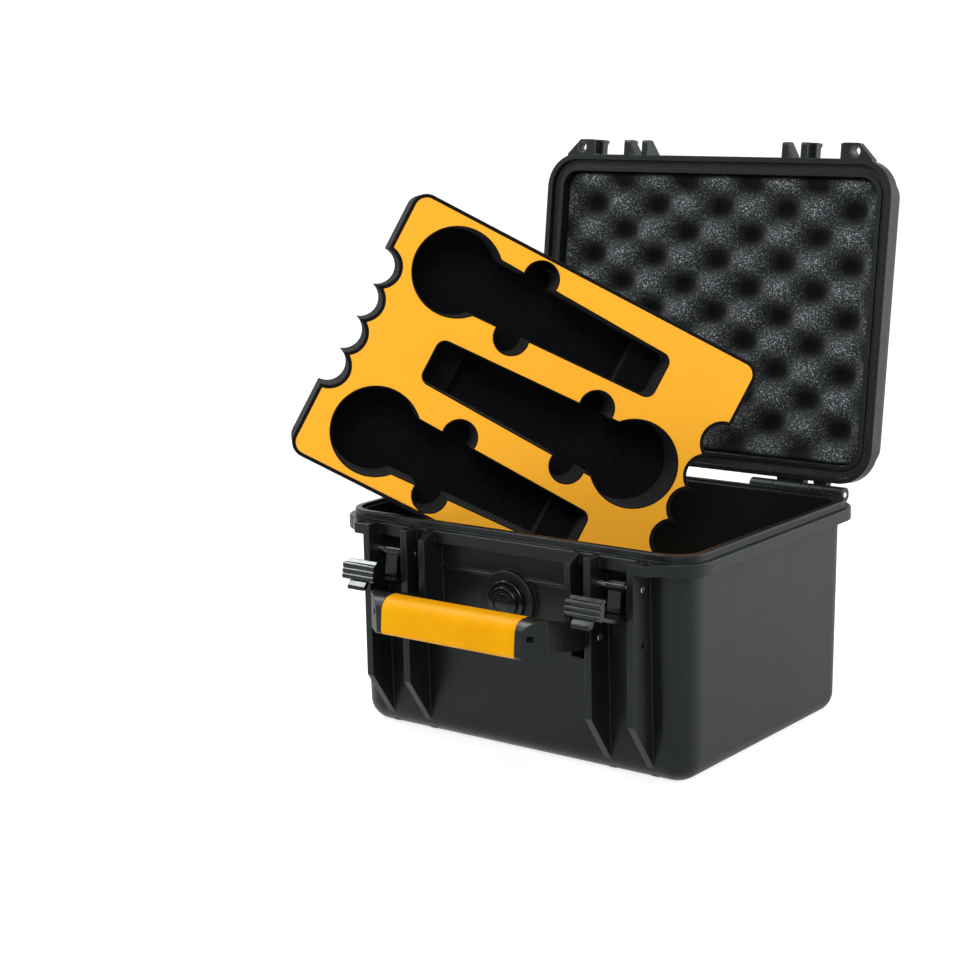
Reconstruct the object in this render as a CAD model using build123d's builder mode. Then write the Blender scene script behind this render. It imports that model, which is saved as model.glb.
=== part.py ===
from build123d import *
import math
import os

# Hard case for handheld microphones: a moulded base with a hinged lid, two snap-over
# latches, a folding handle, a pressure valve, and two foam trays with coloured faces.
# Millimetres. +X right, +Y back, +Z up, seen from the front. The origin is the middle
# of the flat underside. The lid is open at its stop and the upper tray leans in the
# opening, with its lowest corner on the lower tray. The microphone slots set the trays,
# and the trays set the case.

os.makedirs("parts", exist_ok=True)

# ---- Clearances -----------------------------------------------------------------------
FIT = 0.05               # a pressed or moulded-on fit, each side
RUNNING = 0.10           # a turning fit, on the radius
SEAT = 0.3               # between a loose piece and what it rests on
SLIDE = 0.4              # between faces that pass each other

# ---- Microphone slots and trays -------------------------------------------------------
ROW_PITCH = 55.95        # between the middle lines of the slots
ROW_SHIFT = -0.25        # middle row, from the tray's own middle
HEAD_OFFSET = 44.7       # head's centre from the tray's short edge
HEAD_RADIUS = 27.9
SLOT_RUN = 145.5         # from the head's centre to the far end
SLOT_END_MARGIN = 54.8   # from the far end to the tray's other short edge
SLOT_HEAD_END = 19.6     # half width where the slot leaves the head
SLOT_TAIL_END = 14.2     # half width at the far end
SLOT_TAIL_ROUND = 5.5
FINGER_ALONG = (48.9, 37.6, 48.9)    # finger circles of each slot, from its head
FINGER_RADIUS = 10.8
FINGER_CLEAR = 35.35     # a finger circle's middle to the next row's middle line
ROW_MARGIN = 3.85        # outermost finger circle to the tray's long edge
SLOT_MARGIN = 1.0        # foam border round each slot
SLOT_FLOOR = 6.0         # foam left under a slot
TAIL_STEP = 20.0         # raised step at the far end of a slot
STEP_HEIGHT = 14.0
TRAY_THICK = 50.0        # the upper tray; the lower one fills its space
TRAY_CORNER = 10.0
FACE_THICK = 2.0         # coloured sheet let into the foam
FACE_INSET = 2.3         # foam border round the sheet
SCALLOP_RADIUS = 12.0
SCALLOP_PITCH = 23.2
SCALLOP_SHIFT = 2.2
SCALLOP_COUNT = 4        # along each short edge
TRAY_PLAY_X = 1.6        # tray to wall at the rim; the walls draw in below
TRAY_PLAY_Y = 3.6
LOWER_TAPER = 1.3        # the lower tray is shorter by this at each end
TRAY_DROP = 73.6         # lower tray's face, below the tongue's top
PAD_THICK = 13.4         # foam pad under the lower tray

FINGER_OUT = ROW_PITCH - FINGER_CLEAR
TRAY_LENGTH = HEAD_OFFSET + SLOT_RUN + SLOT_END_MARGIN
TRAY_WIDTH = 2 * (ROW_PITCH + FINGER_OUT + FINGER_RADIUS + ROW_MARGIN)
LOWER_LENGTH = TRAY_LENGTH - 2 * LOWER_TAPER

# ---- Base shell -----------------------------------------------------------------------
WALL_INSET = 7.4         # from the flange's edge in to the wall
WALL = 3.5
RIM_WIDTH = TRAY_LENGTH + 2 * (TRAY_PLAY_X + WALL + WALL_INSET)     # over the flange, X
RIM_DEPTH = TRAY_WIDTH + 2 * (TRAY_PLAY_Y + WALL + WALL_INSET)      # over the flange, Y
RIM_CORNER = 23.5
RIM_HEIGHT = 142.6       # top of the tongue above the ground
TONGUE_HEIGHT = 4.5
TONGUE_INSET = 4.0
TONGUE_THICK = 4.0
LEDGE_DROP = 2.0         # inner ledge of the rim, below the tongue's top
FLANGE_HEIGHT = 8.0
DRAFT = 1.1              # degrees
FLOOR = 5.0
UNDER_RADIUS = 14.0
INNER_RADIUS = 8.0
EDGE_ROUND = 1.0
HALF_W = RIM_WIDTH / 2
HALF_D = RIM_DEPTH / 2
LEDGE_Z = RIM_HEIGHT - LEDGE_DROP
FLANGE_TOP = RIM_HEIGHT - TONGUE_HEIGHT
FLANGE_UNDER = FLANGE_TOP - FLANGE_HEIGHT
LOWER_TRAY_TOP = RIM_HEIGHT - TRAY_DROP

# ---- Ribs and ears on the front -------------------------------------------------------
RIB_REACH = 10.4         # ribs stand this far in front of the flange
RIB_THICK = 4.7
BAY_SPAN = 35.1          # a latch bay over its two ribs
BAY_OUTER = HALF_W - 32.8            # outside of a bay, from the middle
BAY_INNER = BAY_OUTER - BAY_SPAN
RIB_KNEE = 39.3          # height where a rib starts to slope back
RIB_TOE_Y = HALF_D - 15.3            # where the slope ends on the rounded underside
RIB_TOE_Z = 2.1
BRACKET_THICK = 4.5
BRACKET_INNER = BAY_INNER - 14.1     # handle bracket rib, from the middle
EAR_HEIGHT = 6.5
EAR_END = BAY_OUTER + 6.8            # where the ear's front edge starts to slope back
EAR_ROOT = BAY_OUTER + 17.3
PADLOCK_X = BAY_OUTER + 5.1
PADLOCK_Y = HALF_D + 4.9
PADLOCK_BORE = 6.5
EYELET_WALL = 0.8
EYELET_RIM = 0.5         # flange of the eyelet, beyond its tube
RIDGE_Z = FLANGE_TOP - 24.9          # level ridge across the front panel
RIDGE_SIZE = 1.7

# ---- Hinge ----------------------------------------------------------------------------
LID_GAP = 0.3            # between the two flanges when shut
PARTING = FLANGE_TOP + LID_GAP
HINGE_Y = HALF_D + 6.8
HINGE_Z = PARTING + 1.4
LID_OPEN = 97.6          # degrees from closed to the stop
KNUCKLE_RADIUS = 5.0
HINGE_PIN = 4.0
KNUCKLE_GAP = 0.5
HINGE_START = HALF_W - 87.0          # inner end of the first knuckle
KNUCKLES = (0, 18.0, 38.5, 45.5, 55.5, 70.0)       # knuckle joints, from that end
HINGE_ENDS = [HINGE_START + along for along in KNUCKLES]

# ---- Lid, as it lies when shut --------------------------------------------------------
LID_FLANGE = 10.0
LID_TOP = PARTING + 39.6
LID_WALL = 4.0
LID_DRAFT = 3.0
LID_TOP_RADIUS = 12.0
GROOVE_DEPTH = 7.6
SEAL_HEIGHT = 3.0
INNER_LIP_RISE = 2.6     # inner lip stands back from the parting face
LID_RIB_FRONT = PARTING + 6.6        # lid ribs slope back above this height
LID_RIB_TOP = PARTING + 28.6
CATCH_Z = PARTING + 5.6
CATCH_HEIGHT = 6.0
CATCH_REACH = RIB_REACH  # in front of the flange
CATCH_LIP = 1.7
CATCH_WIDTH = 4.0        # of each catch, beside its rib
FOAM_PEAK_Z = PARTING + 7.6
FOAM_DIMPLE = 14.0
DIMPLE_PITCH_X = 51.0
DIMPLE_PITCH_Y = 36.0
DIMPLE_WIDTH = 29.0
DIMPLE_ROWS = 5          # each way, with one row fewer between them
FOAM_BEVEL = 6.5

# ---- Latches, as they stand when shut -------------------------------------------------
LATCH_PIN = 4.0
LATCH_Y = HALF_D + 0.2
LATCH_Z = FLANGE_TOP - 16.9
LATCH_BARREL = 13.5
LATCH_BARREL_RADIUS = 4.0
LATCH_NECK = 9.0
NECK_THICK = 6.0
LATCH_OPEN = 81.0        # degrees from shut to the pose shown
LATCH_REACH = 15.0       # from the pin forward to the back of the plate
LATCH_PLATE = 2.4
PLATE_BOW = 2.0          # the plate bows forward in the middle
LATCH_CROWN = 2.9        # top of the clamp, over the lid's catch when shut
CROWN_BACK = 8.1         # hind end of the crown, ahead of the pin
LATCH_NOSE = 23.0        # hooking nose, narrower than the bay
NOSE_FRONT = 6.6         # the nose's tip ahead of the pin, front and back
NOSE_BACK = 4.8
GRIP_BARS = 3            # along the crown
BAR_RADIUS = 2.1
BAR_PITCH = 3.4
BAR_BACK = 1.8           # first bar, behind the front of the plate
BAR_PROUD = 1.7          # a bar stands above the crown by this much
LATCH_TAB = 13.3         # pull tab
TAB_REACH = 5.8
TAB_THICK = 2.4

# ---- Handle ---------------------------------------------------------------------------
HANDLE_PIN = 5.0
HANDLE_Y = HALF_D + 0.2
HANDLE_Z = FLANGE_TOP - 50.1
ARM_THICK = 8.2
ARM_BOSS = 7.9
ARM_DEPTH = 18.0         # of an arm where it meets the grip
BRACKET_FOOT = HANDLE_Z - 11.0
GRIP_END = BAY_INNER - 17.1
GRIP_FRONT = HANDLE_Y + 57.6         # front of the grip, from the middle of the case
GRIP_BACK = HANDLE_Y + 38.6
GRIP_TOP = HANDLE_Z + 19.3
GRIP_UNDER = HANDLE_Z - 3.7
GRIP_LEAN = 2.0          # the front leans back by this much
GRIP_BRIM = 9.0          # radius along the upper front edge
GRIP_SHOULDER = 5.0      # radius along the back edges
GRIP_HEEL = 3.0          # radius along the lower front edge
CORE_INSET = 4.0         # thickness of the rubber sleeve
CAP_BAND = 3.0           # of each end cap beside the sleeve, before its slanted face
CAP_SLANT = 11.5         # how far back the slanted face runs
CAP_HOLE = 3.6
CAP_HOLE_X = GRIP_END + 8.5
CAP_HOLE_Z = HANDLE_Z + 9.0
CAP_HOLE_DEPTH = 8.0

# ---- Pressure valve -------------------------------------------------------------------
VALVE_Z = FLANGE_TOP - 39.1
BOSS_DIAMETER = 38.6
BOSS_FACE = HALF_D - 3.7
VALVE_BORE = 15.0
VALVE_FLANGE = 27.0
VALVE_FLANGE_THICK = 2.2
VALVE_KNOB = 20.0
VALVE_KNOB_THICK = 2.4
VALVE_RING = 1.6         # thickness of the inner retaining ring
RING_RADIUS = 11.5       # over its corners
RING_SIDES = 6
VENT_HOLE = 6.0
CAP_GROOVE_OUTER = 7.2   # round groove and two dots in the cap's face
CAP_GROOVE_INNER = 5.8
CAP_GROOVE_DEPTH = 0.8
CAP_DOT = 0.9
CAP_DOT_X = 2.2
CAP_DOT_Y = 2.5

# ---- Worked-out places ----------------------------------------------------------------
PIN_CHAMFER = 0.4
DIAGONAL = math.sqrt(0.5)
RIB_FRONT = -(HALF_D + RIB_REACH)
WALL_SLOPE = math.tan(math.radians(DRAFT))
WALL_W = RIM_WIDTH - 2 * WALL_INSET
WALL_D = RIM_DEPTH - 2 * WALL_INSET
WALL_CORNER = RIM_CORNER - WALL_INSET
FOOT_W = WALL_W - 2 * FLANGE_UNDER * WALL_SLOPE
FOOT_D = WALL_D - 2 * FLANGE_UNDER * WALL_SLOPE
CAVITY_W = WALL_W - 2 * WALL
CAVITY_D = WALL_D - 2 * WALL
CAVITY_CORNER = WALL_CORNER - WALL
LID_FLANGE_TOP = PARTING + LID_FLANGE
LID_AXIS = Axis((0, HINGE_Y, HINGE_Z), (1, 0, 0))
BAY_MIDDLE = (BAY_INNER + BAY_OUTER) / 2
BAY_CLEAR = BAY_SPAN - 2 * RIB_THICK
LATCH_WIDTH = BAY_CLEAR - 2 * SLIDE
INSIDE_FRONT = -(CAVITY_D / 2 - (LEDGE_Z - VALVE_Z + RING_RADIUS) * WALL_SLOPE) + FIT
CATCH_TOP = CATCH_Z + CATCH_HEIGHT
LIP_TOP = CATCH_TOP + CATCH_LIP
CROWN_UNDER = LIP_TOP + 2 * SEAT
CROWN_TOP = CROWN_UNDER + LATCH_CROWN
PLATE_BACK = -(LATCH_Y + LATCH_REACH)
PLATE_FRONT = PLATE_BACK - LATCH_PLATE
PLATE_FOOT = LATCH_Z - NECK_THICK / 2
PLATE_MIDDLE = (PLATE_FOOT + CROWN_UNDER) / 2
LATCH_AXIS = Axis((0, -LATCH_Y, LATCH_Z), (1, 0, 0))
ARM_OUTER = BAY_INNER - SLIDE


def opened(piece):
    """A piece of the closed lid, swung open to its stop."""
    return piece.rotate(LID_AXIS, -LID_OPEN)


# ---- Base shell -----------------------------------------------------------------------
with BuildPart() as cavity:
    with BuildSketch(Plane.XY.offset(LEDGE_Z + EDGE_ROUND)):
        RectangleRounded(CAVITY_W, CAVITY_D, CAVITY_CORNER)
    extrude(amount=-(LEDGE_Z + EDGE_ROUND - FLOOR), taper=DRAFT)
    fillet(cavity.faces().sort_by(Axis.Z)[0].edges(), INNER_RADIUS)

with BuildPart() as base_shell:
    with BuildSketch(Plane.XY):
        RectangleRounded(FOOT_W, FOOT_D, WALL_CORNER)
    extrude(amount=FLANGE_UNDER + EDGE_ROUND, taper=-DRAFT)
    fillet(base_shell.faces().sort_by(Axis.Z)[0].edges(), UNDER_RADIUS)
    # Rim flange, rounded on its outer edges.
    with BuildSketch(Plane.XY.offset(FLANGE_UNDER)):
        RectangleRounded(RIM_WIDTH, RIM_DEPTH, RIM_CORNER)
    extrude(amount=FLANGE_HEIGHT)
    flange_edges = base_shell.edges().filter_by_position(Axis.Z, FLANGE_TOP, FLANGE_TOP)
    fillet(flange_edges, EDGE_ROUND)
    # Tongue that enters the lid's groove, and the ledge inside it.
    with BuildSketch(Plane.XY.offset(FLANGE_TOP - EDGE_ROUND)):
        RectangleRounded(
            RIM_WIDTH - 2 * TONGUE_INSET, RIM_DEPTH - 2 * TONGUE_INSET, RIM_CORNER - TONGUE_INSET
        )
    extrude(amount=TONGUE_HEIGHT + EDGE_ROUND)
    fillet(base_shell.faces().sort_by(Axis.Z)[-1].edges(), EDGE_ROUND)
    with BuildSketch(Plane.XY.offset(LEDGE_Z)):
        tongue_inner = TONGUE_INSET + TONGUE_THICK
        RectangleRounded(
            RIM_WIDTH - 2 * tongue_inner, RIM_DEPTH - 2 * tongue_inner, RIM_CORNER - tongue_inner
        )
    extrude(amount=LEDGE_DROP, mode=Mode.SUBTRACT)
    # Four long ribs that frame the latch bays.
    for rib_left in (-BAY_OUTER, -BAY_INNER - RIB_THICK, BAY_INNER, BAY_OUTER - RIB_THICK):
        with BuildSketch(Plane.YZ.offset(rib_left)):
            with BuildLine():
                Polyline(
                    (RIB_FRONT, FLANGE_TOP),
                    (RIB_FRONT, RIB_KNEE),
                    (-RIB_TOE_Y, RIB_TOE_Z),
                    (-RIB_TOE_Y + UNDER_RADIUS / 2, RIB_TOE_Z),
                    (-RIB_TOE_Y + UNDER_RADIUS / 2, FLANGE_TOP),
                    close=True,
                )
            make_face()
            knee = vertices().filter_by_position(Axis.Y, RIB_FRONT, RIB_FRONT)
            fillet(knee, 2 * EDGE_ROUND)
        extrude(amount=RIB_THICK)
    # Two short ribs that carry the inner ends of the handle's pins.
    for rib_left in (-BRACKET_INNER - BRACKET_THICK, BRACKET_INNER):
        with BuildSketch(Plane.YZ.offset(rib_left)):
            with BuildLine():
                Polyline(
                    (RIB_FRONT, FLANGE_TOP - RIB_REACH / 2),
                    (RIB_FRONT, BRACKET_FOOT),
                    (-RIB_TOE_Y, BRACKET_FOOT - RIB_REACH),
                    (-RIB_TOE_Y, FLANGE_TOP),
                    (-HALF_D, FLANGE_TOP),
                    close=True,
                )
            make_face()
            knee = vertices().filter_by_position(Axis.Y, RIB_FRONT, RIB_FRONT)
            fillet(knee, 2 * EDGE_ROUND)
        extrude(amount=BRACKET_THICK)
    # Padlock ears at the front corners.
    with BuildSketch(Plane.XY.offset(FLANGE_TOP - EAR_HEIGHT)):
        with BuildLine():
            Polyline(
                (BAY_OUTER - RIB_THICK, -HALF_D + EAR_HEIGHT),
                (BAY_OUTER - RIB_THICK, RIB_FRONT),
                (EAR_END, RIB_FRONT),
                (EAR_ROOT, -HALF_D),
                (EAR_ROOT, -HALF_D + EAR_HEIGHT),
                close=True,
            )
        make_face()
        fillet(vertices().group_by(Axis.Y)[0], EDGE_ROUND)
        mirror(about=Plane.YZ)
    extrude(amount=EAR_HEIGHT)
    # Level ridge across the front panel, and the valve's round boss.
    with BuildSketch(Plane.YZ.offset(-BRACKET_INNER)):
        with Locations((-(WALL_D / 2 - (FLANGE_UNDER - RIDGE_Z) * WALL_SLOPE), RIDGE_Z)):
            Circle(RIDGE_SIZE)
    extrude(amount=2 * BRACKET_INNER)
    with BuildSketch(Plane.XZ.offset(BOSS_FACE)):
        with Locations((0, VALVE_Z)):
            Circle(BOSS_DIAMETER / 2)
    extrude(amount=-(BOSS_FACE + INSIDE_FRONT))
    fillet(base_shell.edges().filter_by_position(Axis.Y, -BOSS_FACE, -BOSS_FACE), EDGE_ROUND)
    # Hinge lugs of the base: knuckles one, three and five of each side.
    for side in (1, -1):
        for start, end in zip(HINGE_ENDS[0::2], HINGE_ENDS[1::2]):
            with BuildSketch(Plane.YZ.offset(side * (start + end) / 2)):
                with Locations((HINGE_Y, HINGE_Z)):
                    Circle(KNUCKLE_RADIUS)
                with BuildLine():
                    Polyline(
                        (HALF_D - EDGE_ROUND, FLANGE_UNDER),
                        (HINGE_Y + KNUCKLE_RADIUS * DIAGONAL, HINGE_Z - KNUCKLE_RADIUS * DIAGONAL),
                        (HINGE_Y, HINGE_Z),
                        (HINGE_Y - KNUCKLE_RADIUS, HINGE_Z),
                        (HALF_D - EDGE_ROUND, FLANGE_TOP - EDGE_ROUND),
                        close=True,
                    )
                make_face()
            extrude(amount=(end - start - KNUCKLE_GAP) / 2, both=True)
    # The inside, then the bores.
    add(cavity.part, mode=Mode.SUBTRACT)
    with BuildSketch(Plane.XZ.offset(BOSS_FACE)):
        with Locations((0, VALVE_Z)):
            Circle(VALVE_BORE / 2)
    extrude(amount=-BOSS_FACE, mode=Mode.SUBTRACT)
    with BuildSketch(Plane.XY.offset(FLANGE_TOP)):
        with Locations((PADLOCK_X, -PADLOCK_Y), (-PADLOCK_X, -PADLOCK_Y)):
            Circle(PADLOCK_BORE / 2)
    extrude(amount=-2 * EAR_HEIGHT, mode=Mode.SUBTRACT)
    with BuildSketch(Plane.YZ):
        with Locations((-HANDLE_Y, HANDLE_Z)):
            Circle(HANDLE_PIN / 2 + FIT)
        with Locations((HINGE_Y, HINGE_Z)):
            Circle(HINGE_PIN / 2 + FIT)
    extrude(amount=HALF_W, both=True, mode=Mode.SUBTRACT)
    for side in (1, -1):
        with BuildSketch(Plane.YZ.offset(side * BAY_MIDDLE)):
            with Locations((-LATCH_Y, LATCH_Z)):
                Circle(LATCH_PIN / 2 + FIT)
        extrude(amount=(BAY_OUTER - BAY_INNER) / 2 + EDGE_ROUND, both=True, mode=Mode.SUBTRACT)
base_shell.part.label = "base_shell"
export_step(base_shell.part, "parts/base_shell.step")

# ---- Lid shell, made closed and swung open --------------------------------------------
groove_outer = TONGUE_INSET - SLIDE
groove_inner = TONGUE_INSET + TONGUE_THICK + SLIDE
with BuildPart() as lid_shell:
    with BuildSketch(Plane.XY.offset(PARTING)):
        RectangleRounded(WALL_W, WALL_D, WALL_CORNER)
    extrude(amount=LID_TOP - PARTING, taper=LID_DRAFT)
    fillet(lid_shell.faces().sort_by(Axis.Z)[-1].edges(), LID_TOP_RADIUS)
    with BuildSketch(Plane.XY.offset(PARTING)):
        RectangleRounded(RIM_WIDTH, RIM_DEPTH, RIM_CORNER)
    extrude(amount=LID_FLANGE)
    flange_rim = lid_shell.edges().filter_by_position(Axis.Z, LID_FLANGE_TOP, LID_FLANGE_TOP)
    outline_edges = 8
    fillet(flange_rim.sort_by(SortBy.LENGTH)[-outline_edges:], EDGE_ROUND)
    # Ribs that line up with the base's.
    for rib_left, rib_thick in (
        (-BAY_OUTER, RIB_THICK),
        (-BAY_INNER - RIB_THICK, RIB_THICK),
        (-BRACKET_INNER - BRACKET_THICK, BRACKET_THICK),
        (BRACKET_INNER, BRACKET_THICK),
        (BAY_INNER, RIB_THICK),
        (BAY_OUTER - RIB_THICK, RIB_THICK),
    ):
        with BuildSketch(Plane.YZ.offset(rib_left)):
            with BuildLine():
                Polyline(
                    (RIB_FRONT, PARTING),
                    (RIB_FRONT, LID_RIB_FRONT),
                    (-WALL_D / 2 + WALL / 2, LID_RIB_TOP),
                    (-WALL_D / 2 + WALL / 2, PARTING + EDGE_ROUND),
                    (-HALF_D + EDGE_ROUND, PARTING),
                    close=True,
                )
            make_face()
            fillet(vertices().group_by(Axis.Y)[0], 2 * EDGE_ROUND)
        extrude(amount=rib_thick)
    # Catches that each latch hooks over, one beside each rib of its bay.
    catch_span = RIB_THICK / 2 + CATCH_WIDTH
    for catch_left in (
        -BAY_OUTER + RIB_THICK / 2,
        -BAY_INNER - RIB_THICK / 2 - catch_span,
        BAY_INNER + RIB_THICK / 2,
        BAY_OUTER - RIB_THICK / 2 - catch_span,
    ):
        with BuildSketch(Plane.YZ.offset(catch_left)):
            with BuildLine():
                Polyline(
                    (-HALF_D - CATCH_REACH, CATCH_Z),
                    (-HALF_D - CATCH_REACH, LIP_TOP),
                    (-HALF_D - CATCH_REACH + CATCH_LIP, LIP_TOP),
                    (-HALF_D - CATCH_REACH + 2 * CATCH_LIP, CATCH_TOP),
                    (-WALL_D / 2 + WALL / 2, CATCH_TOP),
                    (-WALL_D / 2 + WALL / 2, CATCH_Z),
                    close=True,
                )
            make_face()
        extrude(amount=catch_span)
    # Padlock ears.
    with BuildSketch(Plane.XY.offset(PARTING)):
        with BuildLine():
            Polyline(
                (BAY_OUTER - RIB_THICK, -HALF_D + EAR_HEIGHT),
                (BAY_OUTER - RIB_THICK, RIB_FRONT),
                (EAR_END, RIB_FRONT),
                (EAR_ROOT, -HALF_D),
                (EAR_ROOT, -HALF_D + EAR_HEIGHT),
                close=True,
            )
        make_face()
        fillet(vertices().group_by(Axis.Y)[0], EDGE_ROUND)
        mirror(about=Plane.YZ)
    extrude(amount=EAR_HEIGHT)
    # Hinge lugs of the lid: knuckles two and four of each side.
    for side in (1, -1):
        for start, end in zip(HINGE_ENDS[1::2], HINGE_ENDS[2::2]):
            with BuildSketch(Plane.YZ.offset(side * (start + end) / 2)):
                with Locations((HINGE_Y, HINGE_Z)):
                    Circle(KNUCKLE_RADIUS)
                with BuildLine():
                    Polyline(
                        (HALF_D - EDGE_ROUND, LID_FLANGE_TOP - EDGE_ROUND),
                        (HINGE_Y + KNUCKLE_RADIUS * DIAGONAL, HINGE_Z + KNUCKLE_RADIUS * DIAGONAL),
                        (HINGE_Y, HINGE_Z),
                        (HINGE_Y - KNUCKLE_RADIUS, HINGE_Z),
                        (HALF_D - EDGE_ROUND, PARTING + EDGE_ROUND),
                        close=True,
                    )
                make_face()
            extrude(amount=(end - start - KNUCKLE_GAP) / 2, both=True)
    # Groove for the tongue and the seal, the inner lip and the hollow.
    with BuildSketch(Plane.XY.offset(PARTING)):
        RectangleRounded(
            RIM_WIDTH - 2 * groove_outer, RIM_DEPTH - 2 * groove_outer, RIM_CORNER - groove_outer
        )
        RectangleRounded(
            RIM_WIDTH - 2 * groove_inner, RIM_DEPTH - 2 * groove_inner, RIM_CORNER - groove_inner,
            mode=Mode.SUBTRACT,
        )
    extrude(amount=GROOVE_DEPTH, mode=Mode.SUBTRACT)
    with BuildSketch(Plane.XY.offset(PARTING)):
        RectangleRounded(
            RIM_WIDTH - 2 * groove_inner, RIM_DEPTH - 2 * groove_inner, RIM_CORNER - groove_inner
        )
    extrude(amount=INNER_LIP_RISE, mode=Mode.SUBTRACT)
    with BuildSketch(Plane.XY.offset(PARTING)):
        RectangleRounded(WALL_W - 2 * LID_WALL, WALL_D - 2 * LID_WALL, WALL_CORNER - LID_WALL)
    extrude(amount=LID_TOP - LID_WALL - PARTING, taper=LID_DRAFT, mode=Mode.SUBTRACT)
    # Hinge bore and padlock bores.
    with BuildSketch(Plane.YZ):
        with Locations((HINGE_Y, HINGE_Z)):
            Circle(HINGE_PIN / 2 + RUNNING)
    extrude(amount=HALF_W, both=True, mode=Mode.SUBTRACT)
    with BuildSketch(Plane.XY.offset(PARTING)):
        with Locations((PADLOCK_X, -PADLOCK_Y), (-PADLOCK_X, -PADLOCK_Y)):
            Circle(PADLOCK_BORE / 2 + EYELET_WALL + FIT)
    extrude(amount=2 * EAR_HEIGHT, mode=Mode.SUBTRACT)
lid_shell.part = opened(lid_shell.part)
lid_shell.part.label = "lid_shell"
export_step(lid_shell.part, "parts/lid_shell.step")

# ---- Seal, seated at the bottom of the lid's groove -----------------------------------
with BuildPart() as lid_seal:
    with BuildSketch(Plane.XY.offset(PARTING + GROOVE_DEPTH - SEAL_HEIGHT)):
        RectangleRounded(
            RIM_WIDTH - 2 * groove_outer - 2 * FIT,
            RIM_DEPTH - 2 * groove_outer - 2 * FIT,
            RIM_CORNER - groove_outer - FIT,
        )
        RectangleRounded(
            RIM_WIDTH - 2 * groove_inner + 2 * FIT,
            RIM_DEPTH - 2 * groove_inner + 2 * FIT,
            RIM_CORNER - groove_inner + FIT,
            mode=Mode.SUBTRACT,
        )
    extrude(amount=SEAL_HEIGHT)
lid_seal.part = opened(lid_seal.part)
lid_seal.part.label = "lid_seal"
export_step(lid_seal.part, "parts/lid_seal.step")

# ---- Convoluted foam in the lid: rows of round hollows, staggered ---------------------
with BuildPart() as lid_foam:
    foam_back = LID_TOP - LID_WALL - SEAT
    foam_shrink = 2 * (FOAM_PEAK_Z - PARTING) * math.tan(math.radians(LID_DRAFT)) + 2 * SEAT
    with BuildSketch(Plane.XY.offset(FOAM_PEAK_Z)):
        RectangleRounded(
            WALL_W - 2 * LID_WALL - foam_shrink,
            WALL_D - 2 * LID_WALL - foam_shrink,
            WALL_CORNER - LID_WALL,
        )
    extrude(amount=foam_back - FOAM_PEAK_Z, taper=LID_DRAFT)
    chamfer(lid_foam.faces().sort_by(Axis.Z)[-1].edges(), EDGE_ROUND)
    fillet(lid_foam.faces().sort_by(Axis.Z)[0].edges(), FOAM_BEVEL)
    hollow_radius = (FOAM_DIMPLE ** 2 + (DIMPLE_WIDTH / 2) ** 2) / (2 * FOAM_DIMPLE)
    for rows in (DIMPLE_ROWS, DIMPLE_ROWS - 1):
        for place in GridLocations(DIMPLE_PITCH_X, DIMPLE_PITCH_Y, rows, rows).locations:
            height = FOAM_PEAK_Z + FOAM_DIMPLE - hollow_radius
            with Locations((place.position.X, place.position.Y, height)):
                Sphere(hollow_radius, mode=Mode.SUBTRACT)
lid_foam.part = opened(lid_foam.part)
lid_foam.part.label = "lid_foam"
export_step(lid_foam.part, "parts/lid_foam.step")

# ---- Hinge pins, one through the knuckles of each side --------------------------------
for side, name in ((-1, "hinge_pin_left"), (1, "hinge_pin_right")):
    with BuildPart() as hinge_pin:
        with BuildSketch(Plane.YZ.offset(side * (HINGE_ENDS[0] + HINGE_ENDS[-1]) / 2)):
            with Locations((HINGE_Y, HINGE_Z)):
                Circle(HINGE_PIN / 2)
        extrude(amount=(HINGE_ENDS[-1] - HINGE_ENDS[0] - KNUCKLE_GAP) / 2, both=True)
        chamfer(hinge_pin.edges().filter_by(GeomType.CIRCLE), PIN_CHAMFER)
    hinge_pin.part.label = name
    export_step(hinge_pin.part, f"parts/{name}.step")

# ---- Padlock eyelets, pressed into the lid's ears -------------------------------------
for side, name in ((-1, "eyelet_left"), (1, "eyelet_right")):
    with BuildPart() as eyelet:
        tube_radius = PADLOCK_BORE / 2 + EYELET_WALL
        with BuildSketch(Plane.XY.offset(PARTING)):
            with Locations((side * PADLOCK_X, -PADLOCK_Y)):
                Circle(tube_radius)
        extrude(amount=EAR_HEIGHT)
        with BuildSketch(Plane.XY.offset(PARTING + EAR_HEIGHT)):
            with Locations((side * PADLOCK_X, -PADLOCK_Y)):
                Circle(tube_radius + EYELET_RIM)
        extrude(amount=EYELET_WALL)
        with BuildSketch(Plane.XY.offset(PARTING)):
            with Locations((side * PADLOCK_X, -PADLOCK_Y)):
                Circle(PADLOCK_BORE / 2)
        extrude(amount=2 * EAR_HEIGHT, mode=Mode.SUBTRACT)
    eyelet.part = opened(eyelet.part)
    eyelet.part.label = name
    export_step(eyelet.part, f"parts/{name}.step")

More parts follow.
